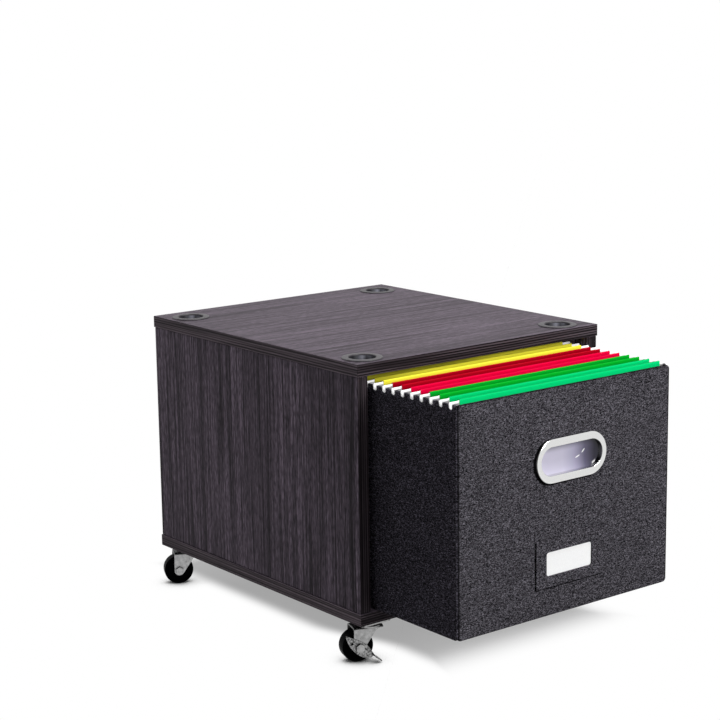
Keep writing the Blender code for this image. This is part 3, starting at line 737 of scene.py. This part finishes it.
# the label pocket: painted nearly black where it faces left, as the shadow in the card's slot,
# and a painted shadow line along its lower edge
pocket_cloth = heather("pocket_cloth", CLOTH, 0.02, shadow_height=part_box("label_frame")[0].z)
print("cloth ready")


# %% Front wall
BOX_FRONT = wall_low[1]
WRAP = 0.0015  # radius of the cloth round a board's edge
DISH_GAP = 0.0006  # how much wider the hole is than the dish
dish_size = span_of("handle_dish")[2]


def front_wall(thickness):
    """The outer rim and the handle's hole, joined over both faces and through the hole."""
    rim = soft_rim(thickness, WRAP)
    outer = rounded(wall_size[0], wall_size[2], CORNER, 24) + WALL
    width, height = dish_size[0] + DISH_GAP, dish_size[2] + DISH_GAP
    hole = rounded(width, height, height / 2, 24) + HANDLE
    rings = [hole] + [shrunk(outer, inset) for inset, _ in rim] + [hole]
    depth = np.concatenate([[0], rim[:, 1], [thickness]])
    return solid(upright(np.stack(rings, 1), BOX_FRONT + depth), True, True)


piece("front_wall", front_wall(wall_size[1]), front_cloth, "file_box", "box_front")
print("front wall at y", round(BOX_FRONT, 4))


# %% Other walls
def slab(width, height, corner, thickness):
    """A board with soft edges, its front face on y = 0 and its middle on the origin."""
    outline = rounded(width, height, corner, 12)
    pairs = soft_rim(thickness, WRAP)
    rings = np.stack([shrunk(outline, inset) for inset, _ in pairs], 1)
    return upright(rings, pairs[:, 1])


low, middle, size = span_of("box_back")
grid = slab(size[0], size[2], CORNER, size[1]) + (middle[0], low[1], middle[2])
piece("rear_wall", solid(grid), box_cloth, "file_box", "box_back")

for side in ("left", "right"):
    low, middle, size = span_of(f"box_{side}")
    grid = slab(size[1], size[2], 0.0017, size[0])[..., [1, 0, 2]]
    grid = grid + (low[0], middle[1], middle[2])
    piece(f"{side}_wall", solid(grid), box_cloth, "file_box", f"box_{side}")

dress("box_base", box_cloth)
print("walls and base")

# %% [markdown]
# ## Handle ring and dish
# A pressed chrome ring frames a milky plastic dish that fingers reach into. The ring's
# section is flat with rolled edges and a short sleeve that turns into the hole. The dish
# is a shallow bowl: its floor rises to the rim along part of an ellipse.
# Chrome shows what stands round it. Its walls that look to the left are darkened by the
# normal, a painted dark reflection of the unlit left side of the studio, as in the photograph.
# The dish gets darker towards its right end and is painted darker under its upper rim as
# shade. A lamp's reflection near its right end, broken into two short curved streaks, is
# painted as two thin leaning patches.


# %% Chrome and milky plastic
def glint(tree, centre, lean, length, width):
    """1 in a thin oval round a place in x and z that leans by an angle, and 0 outside."""
    place = vector_step(tree, "SUBTRACT", object_place(tree), (centre[0], 0.0, centre[1]))
    cosine, sine = np.cos(np.radians(lean)), np.sin(np.radians(lean))
    along = dot(tree, place, (2 * cosine / length, 0.0, 2 * sine / length))
    across = dot(tree, place, (-2 * sine / width, 0.0, 2 * cosine / width))
    squares = [calculate(tree, "MULTIPLY", part, part) for part in (along, across)]
    return smooth(tree, calculate(tree, "ADD", *squares), 0.3, 1.2, 1.0, 0.0)


CHROME = (0.72, 0.72, 0.715)
chrome, tree, shader = new_finish("chrome", CHROME, 0.12, 1.0)
# walls that face left are painted dark: a painted reflection of the unlit left side of the
# studio
tone = ramp(tree, facing_left(tree), (0.25, CHROME), (0.6, (0.03, 0.03, 0.033)), (0.85, 0.03),
            (1.0, 0.4))
link(tree, tone, shader.inputs["Base Color"])
smear = speckle(tree, 60.0, 3.0)
link(tree, ramp(tree, smear, (0.3, 0.08), (0.7, 0.16)), shader.inputs["Roughness"])

DISH_HALF = 0.045
milky, tree, shader = new_finish("milky_plastic", (0.55, 0.53, 0.62), 0.1, gloss=0.25)
across, _, height = parted(tree, object_place(tree))
along = tree.nodes.new("ShaderNodeMapRange")
along.inputs["From Min"].default_value = HANDLE[0] - DISH_HALF
along.inputs["From Max"].default_value = HANDLE[0] + DISH_HALF
link(tree, across, along.inputs["Value"])
cloudy = noise(tree, stretched(tree, (18.0, 30.0, 30.0)), 2.0)
# lilac, darker towards the right end
tint = ramp(tree, along.outputs["Result"], (0.1, (0.6, 0.57, 0.7)), (0.42, (0.56, 0.535, 0.66)),
            (0.62, (0.37, 0.35, 0.48)), (0.8, (0.1, 0.09, 0.15)), (0.95, (0.02, 0.018, 0.034)))
# painted shade under the dish's upper rim
shade_under_rim = smooth(tree, height, HANDLE[1] + 0.006, HANDLE[1] + 0.0165, 1.0, 0.35)
tone = multiplied(tree, tint, ramp(tree, cloudy, (0.3, 0.92), (0.7, 1.06)), shade_under_rim)
# place from the handle's middle, lean in degrees, length
STREAKS = (((0.016, -0.003), 18, 0.0078), ((0.0245, 0.0022), 43, 0.0066))
for shift, lean, length in STREAKS:
    streak = glint(tree, HANDLE + shift, lean, length, 0.0017)
    tone = blend_colour(tree, "MIX", streak, tone, WHITE)
link(tree, tone, shader.inputs["Base Color"])
shader.inputs["Coat Weight"].default_value = 0.15
shader.inputs["Coat Roughness"].default_value = 0.05
print("handle at x, z", [round(float(value), 4) for value in HANDLE])


# %% Ring and dish
def ring_shape():
    """Round the section: sleeve, hole edge, flat face, outer edge, back."""
    face, back = -0.0029, -0.0003
    curl = np.linspace(0, np.pi / 2, 8)
    small, large = 0.0012 * (1 - np.cos(curl)), 0.0016 * (1 - np.cos(curl))
    hole_edge = np.stack([0.12 * (1 - np.sin(curl)), face + small], -1)[::-1]
    outer_edge = np.stack([0.8 + 0.2 * np.sin(curl), face + large], -1)
    sleeve = 0.0035
    section = np.concatenate([
        [(0.0, sleeve), (0.0, -0.0008)],
        hole_edge,
        outer_edge,
        [(1, back), (0.15, back), (0.15, sleeve)],
    ])
    width, height = ring_size[0], ring_size[2]
    outer = rounded(width, height, height / 2, 32)
    inner = rounded(width - 0.0151, height - 0.018, height / 2 - 0.009, 32)
    return flange(section, inner, outer, HANDLE, BOX_FRONT)


piece("handle_ring_polished", ring_shape(), chrome, "file_box", "handle_ring")


def dish_shape():
    """From the floor up along part of an ellipse to the lip, and down the outside."""
    rise = np.linspace(np.pi / 2, 0, 24)
    inset = 0.0014 + 0.0165 * (1 - np.cos(rise))
    depth = 0.0002 + 0.0056 * np.sin(rise)
    outside = [(0.0003, 0.0002), (0, 0.0006), (0, 0.0056), (0.0016, 0.0072)]
    pairs = np.concatenate([np.stack([inset, depth], -1), outside])
    width, height = dish_size[0], dish_size[2]
    rings = [rounded(width - 2 * i, height - 2 * i, height / 2 - i, 32) for i, _ in pairs]
    return solid(upright(np.stack(rings, 1) + HANDLE, BOX_FRONT + pairs[:, 1]))


piece("handle_dish_moulded", dish_shape(), milky, "file_box", "handle_dish")
print("handle made")

# %% [markdown]
# ## Label pocket and card
# The label is a cloth-covered frame with a window. The card slides in behind it from the
# left. It is left bare here.

# %% Label
label_middle, label_size = span_of("label_frame")[1:]


def frame_shape():
    """Round the section: window edge, flat face, outer edge, back, and the card's groove."""
    back, groove, front, edge = -0.0003, -0.0013, -0.0021, 0.0008
    turn = np.linspace(0, np.pi / 2, 6)
    roll = front + edge * (1 - np.cos(turn))
    section = np.concatenate([
        np.stack([0.05 - 0.05 * np.sin(turn), roll], -1)[::-1],
        np.stack([0.95 + 0.05 * np.sin(turn), roll], -1),
        [(1, back), (0.94, back), (0.94, groove), (0, groove)],
    ])
    width, height = label_size[0], label_size[2]
    outer = rounded(width, height, 0.002, 12)
    window = rounded(width - 0.0315, height - 0.0285, 0.003, 12)
    return flange(section, window, outer, label_middle[[0, 2]], BOX_FRONT)


piece("label_frame_cloth", frame_shape(), pocket_cloth, "file_box", "label_frame")

card_finish, tree, shader = new_finish("card", (0.9, 0.9, 0.89), 0.6, gloss=0.3)
fibre = speckle(tree, 1500.0, 3.0)
link(tree, ramp(tree, fibre, (0.3, 0.9), (0.7, 0.98)), shader.inputs["Base Color"])
bump(tree, shader, fibre, 0.00003, 0.5)
dress("label_card", card_finish)
print("label made")

# %% [markdown]
# ## Hanging folders
# A folder is one sheet of card folded over two rods. From the side it is a long thin
# loop: a short flap inside, the fold over the rod, the face down to the foot and up
# again. The section is thickened along its own normals and drawn out over the width, and
# a slow wave makes the card look like card and not like sheet metal.
# Each colour of card is a finish of its own. The yellow ones hang under the top in the
# photograph, where less light comes, so they are painted dimmer from its front edge on.


# %% Card stock
def card_stock(name, colour, shade, fold, dim_from=None):
    """Card with a fine fibre. Where the fold looks up, a fold factor above 1 paints a highlight
    and one below 1 paints shade. It can be painted dimmer as shade from a place in y onwards,
    which lies further back towards the right."""
    finish, tree, shader = new_finish(name, colour, 0.55, gloss=0.03)
    fibre = noise(tree, stretched(tree, (500.0, 900.0, 900.0)), 4.0, 0.7)
    darker = tuple(channel * shade for channel in colour)
    tone = ramp(tree, fibre, (0.25, darker), (0.6, colour))
    # the fold's top: a painted highlight when fold is above 1, painted shade when it is below
    fold_top_shading = smooth(tree, facing(tree, Z, True), 0.5, 0.9, 1.0, fold)
    tone = multiplied(tree, tone, fold_top_shading)
    if dim_from is not None:
        x, y, _ = parted(tree, object_place(tree))
        depth = calculate(tree, "ADD", y, calculate(tree, "MULTIPLY", x, -0.12))
        dim = smooth(tree, depth, dim_from + 0.018, dim_from + 0.033, 1.0, 0.5)
        tone = multiplied(tree, tone, dim)
    link(tree, tone, shader.inputs["Base Color"])
    bump(tree, shader, fibre, 0.00005, 0.4)
    return finish


light_green = card_stock("card_light_green", (0.0, 0.7, 0.2), 0.9, 0.55)
green = card_stock("card_green", (0.0, 0.42, 0.022), 0.86, 0.95)
crimson = card_stock("card_crimson", (0.86, 0.0, 0.05), 0.9, 0.8)
dark_red = card_stock("card_dark_red", (0.42, 0.0, 0.01), 0.88, 1.2)
top_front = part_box("top_panel")[0].y
yellow = card_stock("card_yellow", (1.0, 0.93, 0.06), 0.96, 0.9, top_front)
STOCK = [(light_green, "light_green"), (green, "green"), (crimson, "crimson"),
         (dark_red, "dark_red"), (yellow, "yellow"), (yellow, "yellow")]
print("yellow is dimmer behind y", round(top_front, 4))
print("card stock ready")

# %% Sheet formula
ROD_GAP, SHEET = 0.00115, 0.0005  # radius of the fold, thickness of the card
ROD_Y, FOLD_Z = 0.0078, 0.0032  # a rod's place from the folder's middle and the box's top
WAVES = ((0.0007, 23, 1.7), (0.0004, 61, 1))  # height, waves' angle a metre, shift a folder
box_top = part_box("box_front")[1].z


def half_section(foot_z):
    """Half of the loop in (y, z): flap, fold, face and foot, from inside to outside."""
    flap = np.stack([np.full(5, ROD_Y - ROD_GAP), np.linspace(-0.012, FOLD_Z - 0.0006, 5)], -1)
    fold = arc((ROD_Y, FOLD_Z), ROD_GAP, 180, 0, 12)
    t = np.linspace(0, 1, 24)[:, None]
    face = (ROD_Y + ROD_GAP, -0.0076) * (1 - t) + np.array([0.0035, foot_z + 0.001]) * t
    return np.concatenate([flap, fold, face, [(0.0025, foot_z)]])


def beside(line, shift):
    """A line moved sideways along its own normals."""
    slope = np.gradient(line, axis=0)
    slope /= np.linalg.norm(slope, axis=1, keepdims=True)
    return line + shift * np.stack([-slope[:, 1], slope[:, 0]], -1)


def folder_sheet(number, low, middle, size):
    """The closed thin loop, drawn out along X, with a slow wave that fades at the rods."""
    half = half_section(low[2] + SHEET / 2 - box_top)
    line = np.concatenate([half, half[::-1] * (-1, 1)])
    rim = np.concatenate([beside(line, SHEET / 2), beside(line, -SHEET / 2)[::-1]])
    across = np.linspace(-0.5, 0.5, 80)[:, None] * size[0]
    wave = sum(high * np.sin(across * turn + number * shift) for high, turn, shift in WAVES)
    hang = np.clip(-(rim[:, 1] + 0.02) / 0.1, 0, 1)
    y = rim[:, 0] + wave * hang
    z = np.broadcast_to(rim[:, 1], y.shape)
    grid = np.stack([np.broadcast_to(across, y.shape), y, z], -1)
    return solid(grid + (middle[0], middle[1], box_top), False, True)


print("folds stand", FOLD_Z + ROD_GAP, "over the box")


# %% Sheets
for number, (stock, stock_slot) in enumerate(STOCK, 1):
    body = f"folder_{number}"
    shape = folder_sheet(number, *span_of(f"{body}_sheet"))
    piece(f"{body}_card", shape, stock, body, f"{body}_sheet")
print("six folders")

# %% [markdown]
# ## Hanging rods
# The rods are flat strips of white moulded plastic. Only their ends show: a short arm
# that lies on the box's wall and a hook that drops over the outside. They are slabs like
# the walls, with the hook's outline at both ends.
# Plastic this thin lets light through. A weak glow of its own stands for that light.

# %% Rods
rod_finish, tree, shader = new_finish("rod_plastic", (0.97, 0.97, 0.97), 0.4, gloss=0.4)
shader.inputs["Emission Color"].default_value = WHITE
shader.inputs["Emission Strength"].default_value = 0.2
speck = speckle(tree, 700.0, 2.0)
link(tree, ramp(tree, speck, (0.3, 0.35), (0.7, 0.45)), shader.inputs["Roughness"])


def rod_outline(length, sheet_width):
    """One end from the middle out along the bottom, round the hook and back, and its twin."""
    tip = length / 2
    body = sheet_width / 2 + 0.0003
    wall = tip - 0.0039
    end = np.concatenate([
        [(body, -0.0056), (body, 0.0003)],
        arc((wall - 0.0006, -0.0003), 0.0006, 90, 0, 4),
        [(wall, -0.0041)],
        arc((wall + 0.0008, -0.0041), 0.0008, 180, 290, 5),
        [(tip - 0.0007, -0.0033)],
        arc((tip - 0.002, 0.001), 0.002, 0, 90, 7),
        [(body + 0.0012, 0.003), (body, 0.0034)],
    ])
    return np.concatenate([end, end[::-1] * (-1, 1)])


def rod_shape(low, middle, size, sheet_width):
    pairs = soft_rim(size[1], 0.0003, 3)
    outline = rod_outline(size[0], sheet_width)
    rings = np.stack([shrunk(outline, inset) for inset, _ in pairs], 1)
    return solid(upright(rings + (middle[0], box_top), low[1] + pairs[:, 1]))


for number in range(1, len(STOCK) + 1):
    width = span_of(f"folder_{number}_sheet")[2][0]
    for end in ("front", "rear"):
        node = f"folder_{number}_{end}_rod"
        shape = rod_shape(*span_of(node), width)
        piece(f"{node}_moulded", shape, rod_finish, f"folder_{number}", node)
print("twelve rods")

# %% [markdown]
# ## Casters
# A caster is a zinc-plated plate with a ball race, a bent fork on a kingpin, an axle bolt
# and a hard black wheel. The front two have a small stamped brake lever.
# The solid model already has the fork's bend and the pierced plate, so these pieces keep
# their shape and only get a finish. The wheels are turned again with finer mouldings.

# %% Zinc and black plastic
joint_of = {joint["name"]: joint for joint in frame["joints"]}


def plated(name, flat_side, axle, fine, dark, pale):
    """Zinc that is pale on its flat sides and darker where the sheet bends or ends, a painted
    dark reflection, with two darker rings round the axle. Fine is how many cloudy patches a
    metre has."""
    finish, tree, shader = new_finish(name, (0.5, 0.51, 0.52), 0.35, 1.0)
    cloudy = speckle(tree, fine, 2.0, 0.6)
    flat = calculate(tree, "ABSOLUTE", dot(tree, normal(tree), flat_side))
    # painted dark reflection where the sheet turns away from its flat side
    depth = ramp(tree, flat, (0.55, 0.1), (0.97, 1.0))
    tone = ramp(tree, cloudy, (0.35, dark), (0.65, pale))
    from_axle = distance(tree, object_place(tree), axle)
    rings = ramp(tree, calculate(tree, "MULTIPLY", from_axle, 100.0), (0.37, 1.0), (0.42, 0.15),
                 (0.48, 1.0), (0.78, 1.0), (0.85, 0.3), (0.92, 1.0))
    link(tree, multiplied(tree, depth, tone, rings), shader.inputs["Base Color"])
    link(tree, ramp(tree, cloudy, (0.3, 0.26), (0.7, 0.42)), shader.inputs["Roughness"])
    bump(tree, shader, cloudy, 0.00008, 0.5)
    return finish


wheel_black, tree, shader = new_finish("wheel_black", (0.0025, 0.0025, 0.003), 0.45, gloss=0.006)
scuff = speckle(tree, 400.0, 4.0, 0.6)
link(tree, ramp(tree, scuff, (0.3, 0.22), (0.7, 0.4)), shader.inputs["Roughness"])
bump(tree, shader, scuff, 0.00005, 0.4)

for corner in CORNERS:
    turning = joint_of[f"wheel_spin_{corner}"]
    axle_line, axle = turning["axis"], turning["pos_m"]
    zinc = plated(f"zinc_{corner}", axle_line, axle, 220.0, 0.26, 0.42)
    for part in ("caster_plate", "kingpin", "fork", "axle"):
        dress(f"{part}_{corner}", zinc)
    if corner.startswith("front"):
        stamped = plated(f"stamped_zinc_{corner}", axle_line, axle, 600.0, 0.03, 0.4)
        dress(f"brake_lever_{corner}", stamped)
print("casters dressed")


# %% Wheels
def wheel_section(radius):
    """From the bore out over one face, round the tread and back over the other."""
    upper = np.concatenate([
        [(0.0034, 0.0092), (0.0064, 0.0092)],
        arc((0.0074, 0.0072), 0.0008, 180, 270, 4),
        [(radius - 0.0054, 0.0061)],
        arc((radius - 0.0043, 0.0068), 0.0007, 270, 340, 4),
        arc((radius - 0.003, 0.0071), 0.0007, 150, 90, 4),
        arc((radius - 0.0018, 0.006), 0.0018, 90, 0, 9),
    ])
    return np.concatenate([upper, (upper * (1, -1))[::-1]])


for corner in CORNERS:
    joint = joint_of[f"wheel_spin_{corner}"]
    wheel = f"wheel_{corner}"
    radius = span_of(wheel)[2][2] / 2
    turned = revolved(wheel_section(radius), joint["pos_m"], joint["axis"], 128)
    shape = solid(turned, True, True)
    piece(f"{wheel}_moulded", shape, wheel_black, wheel, wheel)
print("four wheels")

# %% [markdown]
# ## Finish
# The view transform is set to Standard.

# %% View transform
bpy.context.scene.view_settings.view_transform = "Standard"
